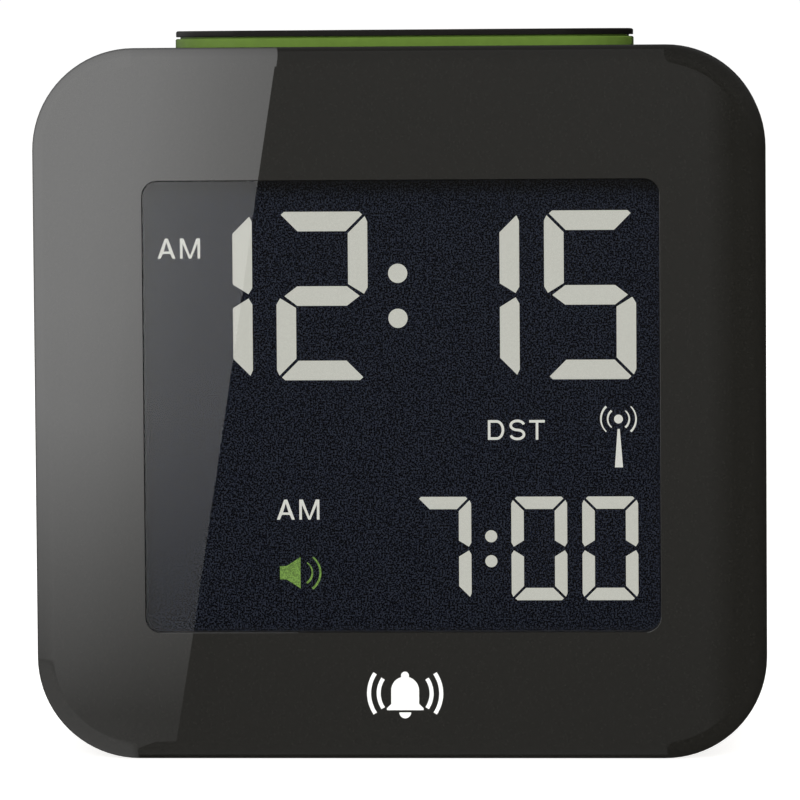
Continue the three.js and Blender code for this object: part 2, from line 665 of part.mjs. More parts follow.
place("key_board", keyBoard(), boardGreen());
["minus", "plus", "alarm", "time"].forEach((name, i) => {
  place(`tact_switch_${name}`, tactSwitch(), steel(), [KEY.xs[i], KEY_FACE, KEY.z]);
  place(`${name}_key`, key(), satinBlack(), [KEY.xs[i], 0, KEY.z]);
});
place("reset_switch", tactSwitch(), steel(), [RESET.x, KEY_FACE, SWITCH_Z]);
place("zone_switch_body", slideSwitchBody(6.5), steel(), [ZONE.x + ZONE.travel / 2, KEY_FACE, SWITCH_Z]);
place("dst_switch_body", slideSwitchBody(4), steel(), [DST.x + DST.travel / 2, KEY_FACE, SWITCH_Z]);
place("zone_knob", slideKnob(), satinBlack(), [ZONE.x, 0, SWITCH_Z]);
place("dst_knob", slideKnob(), satinBlack(), [DST.x, 0, SWITCH_Z]);
place("buzzer", buzzer(), black());

const buttonSpring = () => coil(SPRING.low, SPRING.high, SPRING.wire, SPRING.turns, SPRING.radius);
place("button_body", buttonBody(), green());
place("button_lid", buttonLid(), satinBlack());
place("latch_switch_body", latchSwitchBody(), steel());
place("latch_plunger", latchPlunger(), white());
place("button_spring_left", buttonSpring(), steel(), [-SPRING.x, 0, 0]);
place("button_spring_right", buttonSpring(), steel(), [SPRING.x, 0, 0]);

// The upper cell's positive end faces +X, and the lower cell's faces -X.
const cellFoot = CELL.length - CELL_TIP;
place("battery_upper", cell(), steel(), [-cellFoot, CELL.y, CELL.highZ], across);
place("battery_lower", cell(), steel(), [cellFoot, CELL.y, CELL.lowZ], [0, 0, Math.PI / 2]);
place("contact_positive", contactPositive(), steel());
place("contact_negative", contactNegative(), steel());
place("contact_link", contactLink(), steel());
place("wire_positive", wire(CELL.highZ, 30), red());
place("wire_negative", wire(CELL.lowZ, 14), black());

places(CASE_SCREW).forEach(([x, z], i) => {
  place(`case_screw_${i + 1}`, screw(CASE_SCREW), steel(), [x, CASE_SCREW.seat + GAP, z]);
});
places(BOARD_SCREW).forEach(([x, z], i) => {
  place(`board_screw_${i + 1}`, screw(BOARD_SCREW), steel(), [x, BOARD_FACE, z]);
});

export default clock;
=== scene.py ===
"""The look of a digital travel alarm clock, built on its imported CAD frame.

Lengths are in millimetres, and turned into metres where a mesh is made. The studio is in metres.
The display faces -Y.
"""

import json
import math

import bmesh
import bpy
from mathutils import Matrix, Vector


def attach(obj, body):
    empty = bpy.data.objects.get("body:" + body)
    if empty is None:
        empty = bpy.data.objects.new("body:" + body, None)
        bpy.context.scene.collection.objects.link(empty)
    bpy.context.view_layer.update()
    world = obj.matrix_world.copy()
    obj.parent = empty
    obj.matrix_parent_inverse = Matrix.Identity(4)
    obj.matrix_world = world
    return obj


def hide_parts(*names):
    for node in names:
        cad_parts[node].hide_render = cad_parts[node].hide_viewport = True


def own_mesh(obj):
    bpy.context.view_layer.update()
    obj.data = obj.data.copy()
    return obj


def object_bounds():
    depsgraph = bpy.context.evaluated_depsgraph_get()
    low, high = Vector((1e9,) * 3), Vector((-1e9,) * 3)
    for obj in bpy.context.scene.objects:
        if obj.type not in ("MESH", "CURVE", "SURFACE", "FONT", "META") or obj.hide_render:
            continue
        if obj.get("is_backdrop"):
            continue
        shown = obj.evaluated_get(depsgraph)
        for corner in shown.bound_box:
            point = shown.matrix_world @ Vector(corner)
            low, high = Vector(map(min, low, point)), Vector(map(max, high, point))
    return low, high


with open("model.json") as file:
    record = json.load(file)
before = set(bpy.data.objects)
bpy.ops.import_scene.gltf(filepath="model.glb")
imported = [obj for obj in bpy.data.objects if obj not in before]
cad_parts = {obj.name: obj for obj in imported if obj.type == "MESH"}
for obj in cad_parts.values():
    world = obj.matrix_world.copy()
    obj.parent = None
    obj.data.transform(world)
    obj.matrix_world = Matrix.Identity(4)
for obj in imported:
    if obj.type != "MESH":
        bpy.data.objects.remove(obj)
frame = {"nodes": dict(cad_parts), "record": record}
cad_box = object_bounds()

MM = 0.001
UP = Vector((0, 0, 1))

# ---- Sizes, in millimetres. What the CAD part has too is as large as there ----

CASE = {"width": 76, "height": 74, "corner": 10.6, "wall": 2}
FACE = -18.97  # a little behind the CAD part's, to leave room in its box for the print
BACK = 19
FRONT_FILLET = 2
REAR_FILLET = 4
SEAM = 0.12  # chamfer on both halves of the case where they meet

WINDOW = {"width": 53.5, "height": 46.9, "corner": 1.6, "x": 0.3, "z": 36.8}
PANE = {"front": -18.95, "step": -16.9, "back": -15.9, "flange": 1.9, "flange_corner": 3, "gap": 0.04}
DISPLAY = -15.63  # the plane behind the pane that the lit parts lie on
LAYER = 0.03  # thickness of the lit parts
PRINT = {"proud": 0.025, "sunk": 0.01}

BUTTON = {"width": 48.2, "depth": 23.6, "corner": 7, "top": 74.92, "low": 70.4, "wall": 1.5, "travel": 1.6}
SKIRT = {"reach": 1.2, "top": 71.95}  # the flange that keeps the button in the case
LID = {"low": 75.1, "high": 75.74, "inset": 0.05, "edge": 0.2, "low_edge": 0.06}
SPRING = {"x": 17, "low": 63.45, "high": 73.3, "radius": 2.7, "wire": 0.3, "turns": 5}

CELL = {"radius": 5.25, "length": 44.5, "y": 12, "low_z": 12.25, "high_z": 23.75, "tip": 25.3}
BAY = {"half": 26, "low": 6.5, "high": 29.5, "floor": 6.5, "wall": 1.2}
DOOR = {"width": 56, "height": 27, "corner": 2, "z": 18, "thickness": 1.6, "gap": 0.2}
HOOK = {"xs": (-14, 14), "half": 3, "depth": 1.5}
CATCH = {"half": 5, "depth": 1.6}
LEDGE = BACK - DOOR["thickness"] - 0.1  # the step behind the door, just clear of it

PANEL = {"width": 54, "height": 18, "corner": 2, "z": 53, "depth": 1.2, "inside": 16.2}
KEY_XS = {"minus": -18, "plus": -6, "alarm": 6, "time": 18}
KEY = {"z": 57, "radius": 2.8, "flange": 3.6, "top": 18.5, "tip": 13.6, "flange_low": 14.55}
KNOBS = {"zone": (-13, 8), "dst": (14, 2)}  # x and travel
KNOB = {"width": 2.2, "height": 2, "corner": 0.25, "plate": 15, "shoulder": 16.15, "top": 18.5}
CONTROL_GAP = 0.2  # round each key and knob
SWITCH_Z = 49
RESET_HOLE = {"x": 4, "radius": 0.75}
SOUND_HOLES = {"z": 37.75, "radius": 0.75, "ring": 3, "count": 6}

CASE_SCREW = {"x": 31.8, "zs": (9.2, 64.8), "seat": 8.05, "length": 11, "radius": 1.1, "head": 2.1}
BOARD_SCREW = {"x": 33, "zs": (20, 54), "seat": -6.35, "length": 5, "radius": 0.9, "head": 1.7}


# ---- Outlines: lists of (across, up) points ----

CORNER_STEPS = 20


def rounded_rect(width, height, corner, x=0.0, z=0.0, grow=0.0):
    """Anticlockwise from the right side, with an arc at each corner. Each side moves out by grow."""
    width, height = width + 2 * grow, height + 2 * grow
    w, h = width / 2 - corner, height / 2 - corner
    points = []
    for quarter, (cx, cz) in enumerate(((w, h), (-w, h), (-w, -h), (w, -h))):
        for step in range(CORNER_STEPS + 1):
            angle = math.pi / 2 * (quarter + step / CORNER_STEPS)
            points.append((x + cx + corner * math.cos(angle), z + cz + corner * math.sin(angle)))
    return points


def circle(radius, x=0.0, z=0.0, count=48):
    return [
        (x + radius * math.cos(2 * math.pi * i / count), z + radius * math.sin(2 * math.pi * i / count))
        for i in range(count)
    ]


def case_outline(inset=0.0):
    return rounded_rect(CASE["width"], CASE["height"], CASE["corner"] - inset, 0, CASE["height"] / 2, -inset)


def window_outline(grow=0.0, corner=None):
    corner = WINDOW["corner"] + grow if corner is None else corner
    return rounded_rect(WINDOW["width"], WINDOW["height"], corner, WINDOW["x"], WINDOW["z"], grow)


def button_outline(grow=0.0):
    return rounded_rect(BUTTON["width"], BUTTON["depth"], BUTTON["corner"] + grow, grow=grow)


# ---- Meshes ----


def make_object(name, data):
    piece = bpy.data.objects.new(name, data)
    bpy.context.scene.collection.objects.link(piece)
    return piece


def from_bmesh(name, bm):
    bmesh.ops.recalc_face_normals(bm, faces=bm.faces)
    mesh = bpy.data.meshes.new(name)
    bm.to_mesh(mesh)
    bm.free()
    return make_object(name, mesh)


def skin(name, rings, ends=True):
    """Joins rings of points, each one to the next. It has end caps, or else its last ring meets its first."""
    bm = bmesh.new()
    loops = [[bm.verts.new(Vector(point) * MM) for point in ring] for ring in rings]
    pairs = list(zip(loops, loops[1:]))
    if ends:
        bm.faces.new(loops[0])
        bm.faces.new(loops[-1])
    else:
        pairs.append((loops[-1], loops[0]))
    count = len(loops[0])
    for one, other in pairs:
        for i in range(count):
            j = (i + 1) % count
            bm.faces.new((one[i], one[j], other[j], other[i]))
    return from_bmesh(name, bm)


def loft(name, rings, axis="y", ends=True):
    """A skin over rings of (outline, place along the axis)."""
    turned = {
        "x": lambda u, v, place: (place, u, v),
        "y": lambda u, v, place: (u, place, v),
        "z": lambda u, v, place: (u, v, place),
    }[axis]
    return skin(name, [[turned(u, v, place) for u, v in outline] for outline, place in rings], ends)


def block(x0, x1, y0, y1, z0, z1):
    corners = [(x1, z1), (x0, z1), (x0, z0), (x1, z0)]
    return loft("block", [(corners, y0), (corners, y1)])


def stepped(outline, steps):
    """Rings of one outline, from pairs (its size step, place along the axis)."""
    return [(outline(step), place) for step, place in steps]


def spun(name, profile, x, z, count=48):
    """A round solid along Y, from pairs of (radius, y)."""
    return loft(name, [(circle(radius, x, z, count), y) for radius, y in profile])


def rod(radius, y0, y1, x, z):
    return spun("rod", [(radius, y0), (radius, y1)], x, z)


def quarter_round(radius, steps):
    """Pairs (inset, depth) of a rounded edge, from the flat face at its full inset to the side."""
    angles = [math.pi / 2 * i / steps for i in range(steps + 1)]
    return [(radius * (1 - math.sin(a)), radius * (1 - math.cos(a))) for a in angles]


def rounded_edge(outline, surface, inward, radius, steps):
    """Rings from the flat surface to the side, where inward is 1 or -1 along the axis."""
    return [(outline(inset), surface + inward * depth) for inset, depth in quarter_round(radius, steps)]


def combine(piece, operation, tools):
    """Adds each tool's solid to the piece or cuts it away, and removes the tools."""
    for tool in tools:
        modifier = piece.modifiers.new("combine", "BOOLEAN")
        modifier.operation = operation
        modifier.object = tool
        modifier.solver = "EXACT"
        graph = bpy.context.evaluated_depsgraph_get()
        mesh = bpy.data.meshes.new_from_object(piece.evaluated_get(graph))
        piece.modifiers.clear()
        piece.data = mesh
        bpy.data.objects.remove(tool)
    return piece


def join(piece, *tools):
    return combine(piece, "UNION", tools)


def cut(piece, *tools):
    return combine(piece, "DIFFERENCE", tools)


def smooth(piece):
    """Smooth curved faces, with flat faces kept flat and hard edges kept hard."""
    hard_edge = math.radians(32)
    piece.data.shade_smooth()
    piece.data.set_sharp_from_angle(angle=hard_edge)
    modifier = piece.modifiers.new("flat_faces", "WEIGHTED_NORMAL")
    modifier.keep_sharp = True
    modifier.weight = 100
    return piece


def finish_piece(piece, name, slot, nodes=(), body="clock_case", material=None):
    """Names the piece, gives it its body, and hides the CAD nodes that it stands for.

    Its material is its slot's, unless another is given or it has its own already.
    """
    piece.name = name
    if not piece.data.materials:
        piece.data.materials.append(material or SLOT_MATERIALS[slot])
    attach(piece, body)
    if nodes:
        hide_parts(*nodes)


def extruded(name, loops, y0, y1):
    """A flat plate of closed loops of (x, z) points, where a loop inside another is a hole."""
    curve = bpy.data.curves.new(name, "CURVE")
    curve.dimensions = "2D"
    curve.fill_mode = "BOTH"
    curve.extrude = (y1 - y0) / 2 * MM
    for loop in loops:
        spline = curve.splines.new("POLY")
        spline.points.add(len(loop) - 1)
        spline.use_cyclic_u = True
        for point, (x, z) in zip(spline.points, loop):
            point.co = (x * MM, z * MM, 0, 1)
    holder = make_object(name, curve)
    graph = bpy.context.evaluated_depsgraph_get()
    mesh = bpy.data.meshes.new_from_object(holder.evaluated_get(graph))
    bpy.data.objects.remove(holder)
    middle = (y0 + y1) / 2 * MM
    for vertex in mesh.vertices:
        x, z, y = vertex.co
        vertex.co = (x, middle - y, z)
    bm = bmesh.new()
    bm.from_mesh(mesh)
    bmesh.ops.remove_doubles(bm, verts=bm.verts, dist=1e-7)
    bpy.data.meshes.remove(mesh)
    return from_bmesh(name, bm)


# ---- Materials ----


class Tree:
    """Short calls for the nodes of a tree that start from one texture coordinate."""

    def __init__(self, tree, coordinate):
        self.tree = tree
        self.place = self.new("TexCoord").outputs[coordinate]

    def new(self, kind):
        return self.tree.nodes.new(f"ShaderNode{kind}")

    def link(self, source, socket):
        self.tree.links.new(source, socket)

    def noise(self, size, detail=2.0, stretch=(1, 1, 1)):
        """Noise whose patches are about the given size in millimetres."""
        mapping = self.new("Mapping")
        mapping.inputs["Scale"].default_value = [s / (size * MM) for s in stretch]
        self.link(self.place, mapping.inputs["Vector"])
        texture = self.new("TexNoise")
        texture.inputs["Scale"].default_value = 1.0
        texture.inputs["Detail"].default_value = detail
        self.link(mapping.outputs["Vector"], texture.inputs["Vector"])
        return texture.outputs["Fac"]

    def ramp(self, source, stops):
        """Colours or greys against the source: a list of (place, value)."""
        node = self.new("ValToRGB")
        elements = node.color_ramp.elements
        while len(elements) < len(stops):
            elements.new(0.5)
        for element, (place, value) in zip(elements, stops):
            element.position = place
            element.color = (value, value, value, 1) if isinstance(value, float) else (*value, 1)
        self.link(source, node.inputs["Fac"])
        return node.outputs["Color"]

    def axes(self):
        """The coordinate's x, y and z."""
        split = self.new("SeparateXYZ")
        self.link(self.place, split.inputs["Vector"])
        return [split.outputs[axis] for axis in "XYZ"]

    def graded(self, value, low, high, first=0.0, last=1.0):
        """Runs from first to last as the value runs from low to high."""
        node = self.new("MapRange")
        spans = {"From Min": low, "From Max": high, "To Min": first, "To Max": last}
        for socket, limit in spans.items():
            node.inputs[socket].default_value = limit
        self.link(value, node.inputs["Value"])
        return node.outputs["Result"]

    def math(self, operation, *values):
        node = self.new("Math")
        node.operation = operation
        for socket, value in zip(node.inputs, values):
            if isinstance(value, (int, float)):
                socket.default_value = value
            else:
                self.link(value, socket)
        return node.outputs["Value"]


class Nodes(Tree):
    """A material with a Principled shader."""

    def __init__(self, name):
        self.material = bpy.data.materials.new(name)
        self.material.use_nodes = True
        super().__init__(self.material.node_tree, "Object")
        self.shader = self.tree.nodes["Principled BSDF"]

    def feed(self, source, socket):
        self.link(source, self.shader.inputs[socket])

    def bump(self, source, height):
        """Relief of the given height in millimetres."""
        node = self.new("Bump")
        node.inputs["Distance"].default_value = height * MM
        self.link(source, node.inputs["Height"])
        self.feed(node.outputs["Normal"], "Normal")

    def set(self, **values):
        for name, value in values.items():
            self.shader.inputs[name.replace("_", " ")].default_value = value


def shade(colour, factor):
    return tuple(channel * factor for channel in colour)


def moulded(name, colour, roughness, grain=0.3, contrast=0.12, relief=0.002, metal=0.0, shine=0.5):
    """Moulded plastic or plain metal: fine grain in colour, gloss and relief."""
    nodes = Nodes(name)
    fine = nodes.noise(grain)
    broad = nodes.noise(grain * 25, 3.0)
    stops = [(0.3, shade(colour, 1 - contrast)), (0.7, shade(colour, 1 + contrast))]
    nodes.feed(nodes.ramp(fine, stops), "Base Color")
    span = [(0.3, max(roughness - 0.06, 0.02)), (0.7, min(roughness + 0.06, 1.0))]
    nodes.feed(nodes.ramp(broad, span), "Roughness")
    nodes.bump(fine, relief)
    nodes.set(Metallic=metal, Specular_IOR_Level=shine)
    return nodes.material


def front_case_material():
    """Black plastic with a faint warm grain, under a polished skin."""
    nodes = Nodes("case_front_black")
    grain = nodes.noise(0.2, 0.5)
    tone = nodes.ramp(grain, [(0.25, (0.0098, 0.0094, 0.0081)), (0.75, (0.0152, 0.0146, 0.0127))])
    nodes.feed(tone, "Base Color")
    nodes.feed(nodes.ramp(nodes.noise(6.0), [(0.3, 0.44), (0.7, 0.5)]), "Roughness")
    nodes.set(Specular_IOR_Level=0.0, Coat_Weight=1.0, Coat_Roughness=0.0, Coat_IOR=1.5)
    return nodes.material


def display_background_material():
    """Blue-black, with a fine sparkle of lighter specks."""
    nodes = Nodes("display_background")
    speck = nodes.noise(0.17, 0.0)
    stops = [(0.4, (0.0, 0.0, 0.0008)), (0.5, (0.0008, 0.0028, 0.0115)), (0.63, (0.03, 0.035, 0.052))]
    nodes.feed(nodes.ramp(speck, stops), "Base Color")
    nodes.feed(nodes.ramp(nodes.noise(3.0), [(0.3, 0.55), (0.7, 0.65)]), "Roughness")
    nodes.set(Specular_IOR_Level=0.0)
    return nodes.material


def lit_material(name, colour, sparkle=0.03):
    """A lit part of the display, with the faint sparkle of the layers over its backlight."""
    nodes = Nodes(name)
    stops = [(0.3, shade(colour, 1 - sparkle)), (0.7, shade(colour, 1 + sparkle))]
    nodes.feed(nodes.ramp(nodes.noise(0.12, 0.0), stops), "Emission Color")
    nodes.set(Emission_Strength=1.0, Base_Color=(0.02, 0.02, 0.02, 1))
    nodes.set(Roughness=0.6, Specular_IOR_Level=0.0)
    return nodes.material


def clear_material(name, tint, ior, smear=0.012):
    """Clear plastic or glass whose polish varies a little."""
    nodes = Nodes(name)
    nodes.feed(nodes.ramp(nodes.noise(8.0), [(0.45, 0.0), (0.75, smear)]), "Roughness")
    nodes.set(Base_Color=(*tint, 1), Transmission_Weight=1.0, IOR=ior)
    return nodes.material


def cell_jacket_material():
    """A printed sleeve: dark, with a copper-coloured band at each end, narrow at the flat one."""
    nodes = Nodes("cell_jacket")
    x, _, _ = nodes.axes()
    along = nodes.graded(x, -CELL["tip"] * MM, CELL["tip"] * MM)
    dark, copper = (0.012, 0.013, 0.016), (0.42, 0.17, 0.05)
    stops = [(0.0, copper), (0.16, copper), (0.165, dark), (0.835, dark), (0.84, copper), (1.0, copper)]
    nodes.feed(nodes.ramp(along, stops), "Base Color")
    nodes.feed(nodes.ramp(nodes.noise(2.0), [(0.3, 0.26), (0.7, 0.34)]), "Roughness")
    nodes.set(Metallic=0.6)
    return nodes.material


def board_material():
    """Solder resist with the faint weave of the glass cloth under it."""
    nodes = Nodes("board_green")
    weave = nodes.noise(0.5, 1.0, (1, 1, 6))
    nodes.feed(nodes.ramp(weave, [(0.35, (0.012, 0.085, 0.03)), (0.65, (0.022, 0.13, 0.05))]), "Base Color")
    nodes.feed(nodes.ramp(nodes.noise(4.0), [(0.3, 0.32), (0.7, 0.42)]), "Roughness")
    nodes.bump(weave, 0.01)
    return nodes.material


REAR_BLACK = moulded("case_rear_black", (0.019, 0.0186, 0.018), 0.5, grain=0.35, contrast=0.1, relief=0.02)
GREEN = (0.14, 0.235, 0.042)
BUTTON_GREEN = moulded("button_green", GREEN, 0.06, grain=0.8, contrast=0.05, relief=0.0, shine=0.03)
PANE_CLEAR = clear_material("pane_clear", (0.98, 0.99, 1.0), 1.385)
SEGMENT_LIT = lit_material("segment_lit", (0.533, 0.53, 0.47))
MARK_LIT = lit_material("mark_lit", (0.65, 0.645, 0.59))
ICON_GREEN = lit_material("icon_green_lit", (0.135, 0.24, 0.045), 0.35)
PRINT_WHITE = moulded("print_white", (0.86, 0.86, 0.84), 0.4, grain=0.2, contrast=0.03)
FRAME_BLACK = moulded("frame_black", (0.012, 0.012, 0.013), 0.6)
STEEL = moulded("contact_steel", (0.6, 0.6, 0.6), 0.25, grain=0.4, contrast=0.06, metal=1.0)
CELL_JACKET = cell_jacket_material()

SLOT_MATERIALS = {
    "gloss_black_case": front_case_material(),
    "satin_black_case": REAR_BLACK,
    "button_green": BUTTON_GREEN,
    "button_black": moulded("lid_black", (0.0098, 0.0091, 0.0078), 0.3, relief=0.004, shine=0.04),
    "key_black": moulded("key_black", (0.022, 0.022, 0.022), 0.45, relief=0.004),
    "clear_pane": PANE_CLEAR,
    "cell_jacket": CELL_JACKET,
    "screw_steel": moulded("screw_steel", (0.4, 0.4, 0.41), 0.35, relief=0.003, metal=1.0),
    "contact_steel": STEEL,
    "inner_black_plastic": FRAME_BLACK,
    "inner_white_plastic": moulded("inner_white", (0.7, 0.7, 0.67), 0.45, contrast=0.05),
    "gasket_foam": moulded("gasket_foam", (0.02, 0.02, 0.02), 0.9, grain=0.15, contrast=0.4, relief=0.05),
    "lcd_glass": clear_material("glass_clear", (0.92, 0.96, 0.95), 1.5),
    "lcd_polariser": display_background_material(),
    "light_guide_clear": clear_material("guide_clear", (0.95, 0.97, 0.98), 1.49, smear=0.08),
    "reflector_white": moulded("reflector_white", (0.82, 0.82, 0.8), 0.35, contrast=0.03),
    "zebra_rubber": moulded("zebra_rubber", (0.42, 0.1, 0.13), 0.8, grain=0.2, contrast=0.25),
    "board_green": board_material(),
    "chip_resin": moulded("chip_resin", (0.012, 0.012, 0.014), 0.18, grain=1.0, contrast=0.2, relief=0.01),
    "component_metal": moulded("component_metal", (0.55, 0.56, 0.58), 0.35, relief=0.003, metal=1.0),
    "switch_plastic": moulded("switch_plastic", (0.1, 0.1, 0.11), 0.45),
    "led_resin": moulded("led_resin", (0.8, 0.76, 0.45), 0.2, contrast=0.05),
    "ferrite": moulded("ferrite", (0.04, 0.036, 0.034), 0.7, grain=0.25, contrast=0.25, relief=0.02),
    "copper_wire": moulded(
        "copper_wire", (0.5, 0.19, 0.08), 0.3, grain=0.2, contrast=0.25, relief=0.05, metal=0.8
    ),
    "ribbon_white": moulded("ribbon_white", (0.66, 0.66, 0.64), 0.45, contrast=0.06),
    "wire_red": moulded("wire_red", (0.38, 0.02, 0.018), 0.45),
    "wire_black": moulded("wire_black", (0.02, 0.02, 0.02), 0.45),
}


def dress_cad_nodes():
    """Gives every CAD node the material of its slot in the record."""
    for part in frame["record"]["subparts"]:
        node = frame["nodes"][part["node"]]
        material = SLOT_MATERIALS[part["material_slot"]]
        for place in node.material_slots:
            place.material = material


# ---- Case ----


def button_hole():
    """A cutter for the hole in the top of the case, with a chamfer."""
    gap, edge, depth, above = 0.3, 0.15, 4, 3
    top = CASE["height"]
    steps = [(gap, top - depth), (gap, top - edge), (gap + edge, top), (gap + edge, top + above)]
    return loft("button_hole", stepped(button_outline, steps), axis="z")


def front_case():
    """One ring-shaped shell: round the window, over the face and fillet, and back inside the wall."""
    wall = CASE["wall"]
    edge = 0.04
    rings = [
        *stepped(window_outline, [(0, FACE + wall), (0, FACE + edge), (edge, FACE)]),
        *rounded_edge(case_outline, FACE, 1, FRONT_FILLET, 14),
        *stepped(case_outline, [(0, -SEAM), (SEAM, 0), (wall, 0), (wall, FACE + wall)]),
    ]
    piece = cut(loft("front_case", rings, ends=False), button_hole())
    finish_piece(smooth(piece), "case_front_shell", "gloss_black_case", ["front_case"])


def flared(outline, y0, edge=0.15, surface=BACK):
    """A cutter for a hole in the back, with a chamfer where it meets the surface."""
    steps = [(0, y0), (0, surface - edge), (edge, surface), (edge, surface + 2)]
    return loft("flared", stepped(outline, steps))


def battery_bay_cuts():
    """The bay, the door's recess, pockets for its catch and hooks, a finger notch and two contact slots."""
    half, low, high, floor = BAY["half"], BAY["low"], BAY["high"], BAY["floor"]
    catch_half, catch_front, catch_top = CATCH["half"] + 0.6, 15.2, 32.2
    hook_half, hook_front, hook_low = HOOK["half"] + 0.4, 14.9, 2.4
    slot_width, slot_height, slot_front = 0.9, 2.5, 5

    def door_recess(grow):
        corner, edge = DOOR["corner"] + grow, DOOR["gap"] + grow
        return rounded_rect(DOOR["width"], DOOR["height"], corner, 0, DOOR["z"], edge)

    def finger_notch(grow):
        width, height, corner, z = 12, 3, 1.2, 32.5
        return rounded_rect(width, height, corner, 0, z, grow)

    cutters = [
        block(-half, half, floor, BACK + 1, low, high),
        flared(door_recess, LEDGE),
        block(-catch_half, catch_half, catch_front, LEDGE + 0.1, high - 0.1, catch_top),
        flared(finger_notch, BACK - 1.2, 0.3),
    ]
    for x in HOOK["xs"]:
        cutters.append(block(x - hook_half, x + hook_half, hook_front, LEDGE, hook_low, low + 0.1))
    for z in (CELL["low_z"], CELL["high_z"]):
        below, above = z - slot_height / 2, z + slot_height / 2
        cutters.append(block(half - slot_width, half, slot_front, floor + 0.3, below, above))
    return cutters


def panel_cuts():
    """The sunk panel on the back, with its holes for keys, knobs and the reset pin."""
    floor = BACK - PANEL["depth"]
    inner, edge = 15, 0.12

    def recess(grow):
        return rounded_rect(PANEL["width"], PANEL["height"], PANEL["corner"] + grow, 0, PANEL["z"], grow)

    def slot(x, travel):
        width, height = travel + KNOB["width"] + 2 * CONTROL_GAP, KNOB["height"] + 2 * CONTROL_GAP
        return lambda grow: rounded_rect(width, height, 0.3, x + travel / 2, SWITCH_Z, grow)

    def hole(x, z, radius):
        return lambda grow: circle(radius + grow, x, z)

    outlines = [hole(x, KEY["z"], KEY["radius"] + CONTROL_GAP) for x in KEY_XS.values()]
    outlines += [slot(x, travel) for x, travel in KNOBS.values()]
    outlines.append(hole(RESET_HOLE["x"], SWITCH_Z, RESET_HOLE["radius"]))
    return [flared(recess, floor, 0.25)] + [flared(outline, inner, edge, floor) for outline in outlines]


def sound_holes():
    """One in the middle and a ring of others round it."""
    inner, edge = 15, 0.1
    middle = (0, SOUND_HOLES["z"])
    spots = [middle, *circle(SOUND_HOLES["ring"], *middle, SOUND_HOLES["count"])]

    def hole(x, z):
        return lambda grow: circle(SOUND_HOLES["radius"] + grow, x, z, 24)

    return [flared(hole(x, z), inner, edge) for x, z in spots]


def screw_places(screw):
    return [(side * screw["x"], z) for side in (-1, 1) for z in screw["zs"]]


def rear_bosses():
    """A screw boss in each corner, with a rib to the side wall."""
    radius, rib_half, front, back = 3.2, 1, 0.1, BACK - 1.5
    inside = CASE["width"] / 2 - CASE["wall"] + 0.5
    added = []
    for x, z in screw_places(CASE_SCREW):
        added.append(rod(radius, front, back, x, z))
        near, far = sorted((math.copysign(CASE_SCREW["x"] + 1, x), math.copysign(inside, x)))
        added.append(block(near, far, front, back, z - rib_half, z + rib_half))
    return added


def rear_blocks():
    """The battery bay's walls, the door's ledge, the panel's backing and the seats of the two springs."""
    half, low, high, floor, skin = BAY["half"], BAY["low"], BAY["high"], BAY["floor"], BAY["wall"]
    seat_half, seat_back, seat_low, seat_high = 3.5, BACK - CASE["wall"] + 0.2, 61.8, 63.3

    def backing(plate, y0, y1, margin=1):
        across, rise = plate["width"] / 2 + margin, plate["height"] / 2 + margin
        return block(-across, across, y0, y1, plate["z"] - rise, plate["z"] + rise)

    added = [
        block(-half - skin, half + skin, floor - skin, LEDGE, low - skin, high + skin),
        backing(DOOR, LEDGE - 2, LEDGE - 0.01),
        backing(PANEL, PANEL["inside"], BACK - 1.5),
    ]
    for x in (-SPRING["x"], SPRING["x"]):
        added.append(block(x - seat_half, x + seat_half, -seat_half, seat_back, seat_low, seat_high))
    return added


def rear_case():
    wall = CASE["wall"]
    rings = [
        *stepped(case_outline, [(wall, BACK - wall), (wall, 0), (SEAM, 0), (0, SEAM)]),
        *reversed(rounded_edge(case_outline, BACK, -1, REAR_FILLET, 16)),
    ]
    piece = join(loft("rear_case", rings), *rear_bosses(), *rear_blocks())

    cutters = []
    shank, head, recess = CASE_SCREW["radius"] + 0.2, CASE_SCREW["head"] + 0.3, CASE_SCREW["seat"] - 0.05
    for x, z in screw_places(CASE_SCREW):
        cutters.append(rod(shank, -1, recess + 1, x, z))
        cutters.append(rod(head, recess, BACK + 1, x, z))
    piece = cut(piece, *cutters, *battery_bay_cuts(), *panel_cuts(), *sound_holes(), button_hole())
    finish_piece(smooth(piece), "case_rear_shell", "satin_black_case", ["rear_case"])


def battery_door():
    """A plate with a grooved grip, two hooks below and a catch above."""
    inner = BACK - DOOR["thickness"]
    low, high = DOOR["z"] - DOOR["height"] / 2, DOOR["z"] + DOOR["height"] / 2

    def plate(inset):
        return rounded_rect(DOOR["width"], DOOR["height"], DOOR["corner"] - inset, 0, DOOR["z"], -inset)

    piece = loft("battery_door", [(plate(0), inner), *reversed(rounded_edge(plate, BACK, -1, 0.3, 5))])
    added = []
    hook_front = inner - HOOK["depth"]
    for x in HOOK["xs"]:
        near, far = x - HOOK["half"], x + HOOK["half"]
        added.append(block(near, far, hook_front, inner + 0.2, low + 0.2, low + 1.9))
        added.append(block(near, far, hook_front, inner - 0.5, low - 1.4, low + 0.5))
    catch_half, catch_front = CATCH["half"], inner - CATCH["depth"]
    added.append(block(-catch_half, catch_half, catch_front, inner + 0.2, high - 1.5, high - 0.01))

    def groove(z):
        width, height, corner = 14, 0.6, 0.25
        return lambda grow: rounded_rect(width, height, corner, 0, z, grow)

    first, pitch, depth = high - 4.3, 1.5, 0.4
    grooves = [flared(groove(first - pitch * i), BACK - depth) for i in range(4)]
    piece = cut(join(piece, *added), *grooves)
    finish_piece(smooth(piece), "battery_door_panel", "satin_black_case", ["battery_door"], "battery_door")


